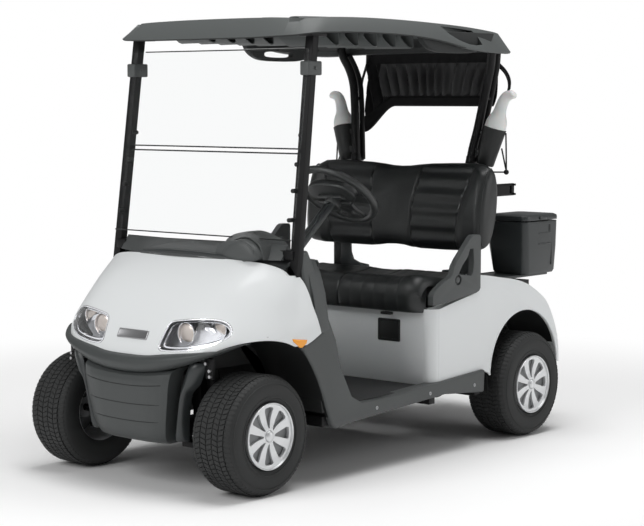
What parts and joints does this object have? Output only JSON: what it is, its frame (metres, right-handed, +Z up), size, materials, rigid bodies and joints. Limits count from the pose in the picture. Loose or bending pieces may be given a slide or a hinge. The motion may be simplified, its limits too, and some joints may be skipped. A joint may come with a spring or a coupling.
{
  "type": "golf cart",
  "caption": "Two-seat electric golf cart with a roof, a two-part windscreen, a bag well, steered front wheels, a lifting seat and a lidded cooler box.",
  "frame": {"origin": "on the ground, in the middle of the cart's length and width", "axes": "+Y towards the rear, +X towards the cart's left side, +Z up"},
  "size_m": [1.192, 2.4, 1.7999],
  "materials": {
    "body_white": "glossy silver white",
    "trim_grey": "grained charcoal",
    "black_plastic": "satin black",
    "roof_black": "satin charcoal",
    "frame_black": "semi-gloss black",
    "steel": "machined",
    "seat_vinyl": "satin vinyl",
    "tyre": "matt",
    "wheel_silver": "silver with grey insets",
    "screen": "clear acrylic",
    "lamp_lens": "clear",
    "red_lens": "glossy red",
    "bottle_white": "translucent white",
    "cover_cloth": "coated black cloth",
    "rubber_mat": "ribbed",
    "battery": "matt"
  },
  "bodies": {
    "root": {"bag_cover": "cover_cloth", "bag_rack": "frame_black", "bag_well": "black_plastic", "battery_pack": "battery", "bottle_holders": "cover_cloth", "charge_port": "black_plastic", "chassis_frame": "frame_black", "cooler_box": "black_plastic", "dashboard": "trim_grey", "floor_mat": "rubber_mat", "floor_pan": "black_plastic", "front_bumper": "trim_grey", "front_cowl": "body_white", "front_struts": "frame_black", "front_suspension": "frame_black", "headlamps": "lamp_lens", "inner_fenders": "black_plastic", "pedals": "steel", "rear_axle": "frame_black", "rear_body": "body_white", "rear_bumper": "trim_grey", "rear_springs": "frame_black", "rear_struts": "frame_black", "roof": "roof_black", "sand_bottles": "bottle_white", "seat_back": "seat_vinyl", "seat_supports": "trim_grey", "sill_left": "trim_grey", "sill_right": "trim_grey", "steering_column": "black_plastic", "steering_rack": "frame_black", "tail_lamps": "red_lens", "windscreen": "screen"},
    "knuckle_left": {"knuckle_left": "steel"},
    "knuckle_right": {"knuckle_right": "steel"},
    "tie_rods": {"tie_rods": "steel"},
    "steering_wheel": {"steering_wheel": "black_plastic"},
    "seat_bottom": {"seat_bottom": "seat_vinyl"},
    "cooler_lid": {"cooler_lid": "black_plastic"},
    "wheel_front_left": {"tyre_front_left": "tyre", "rim_front_left": "wheel_silver"},
    "wheel_front_right": {"tyre_front_right": "tyre", "rim_front_right": "wheel_silver"},
    "wheel_rear_left": {"tyre_rear_left": "tyre", "rim_rear_left": "wheel_silver"},
    "wheel_rear_right": {"tyre_rear_right": "tyre", "rim_rear_right": "wheel_silver"}
  },
  "joints": [
    {"name": "steer_left", "type": "hinge", "parent": "root", "child": "knuckle_left", "pos_m": [0.4, -0.948, 0.229], "axis": [0, 0, 1], "range_deg": [-25, 25]},
    {"name": "steer_right", "type": "hinge", "parent": "root", "child": "knuckle_right", "pos_m": [-0.4, -0.948, 0.229], "axis": [0, 0, 1], "range_deg": [-25, 25]},
    {"name": "rack_slide", "type": "slide", "parent": "root", "child": "tie_rods", "axis": [1, 0, 0], "range_m": [-0.045, 0.045]},
    {"name": "steering_wheel_turn", "type": "hinge", "parent": "root", "child": "steering_wheel", "pos_m": [0.237, -0.189, 1.088], "axis": [0, 0.766, 0.6428], "range_deg": [-276, 276]},
    {"name": "seat_lift", "type": "hinge", "parent": "root", "child": "seat_bottom", "pos_m": [0, 0.47, 0.612], "axis": [-1, 0, 0], "range_deg": [0, 50]},
    {"name": "cooler_lid_lift", "type": "hinge", "parent": "root", "child": "cooler_lid", "pos_m": [0.41, 0.766, 0.90525], "axis": [1, 0, 0], "range_deg": [0, 95]},
    {"name": "spin_front_left", "type": "hinge", "parent": "knuckle_left", "child": "wheel_front_left", "pos_m": [0.451, -0.948, 0.229], "axis": [1, 0, 0], "continuous": true},
    {"name": "spin_front_right", "type": "hinge", "parent": "knuckle_right", "child": "wheel_front_right", "pos_m": [-0.451, -0.948, 0.229], "axis": [1, 0, 0], "continuous": true},
    {"name": "spin_rear_left", "type": "hinge", "parent": "root", "child": "wheel_rear_left", "pos_m": [0.489, 0.728, 0.229], "axis": [1, 0, 0], "continuous": true},
    {"name": "spin_rear_right", "type": "hinge", "parent": "root", "child": "wheel_rear_right", "pos_m": [-0.489, 0.728, 0.229], "axis": [1, 0, 0], "continuous": true}
  ],
  "couplings": [
    {"joint": "steer_right", "follows": "steer_left", "ratio": 1},
    {"joint": "rack_slide", "follows": "steer_left", "m_per_rad": -0.1017},
    {"joint": "steering_wheel_turn", "follows": "steer_left", "ratio": 11}
  ]
}
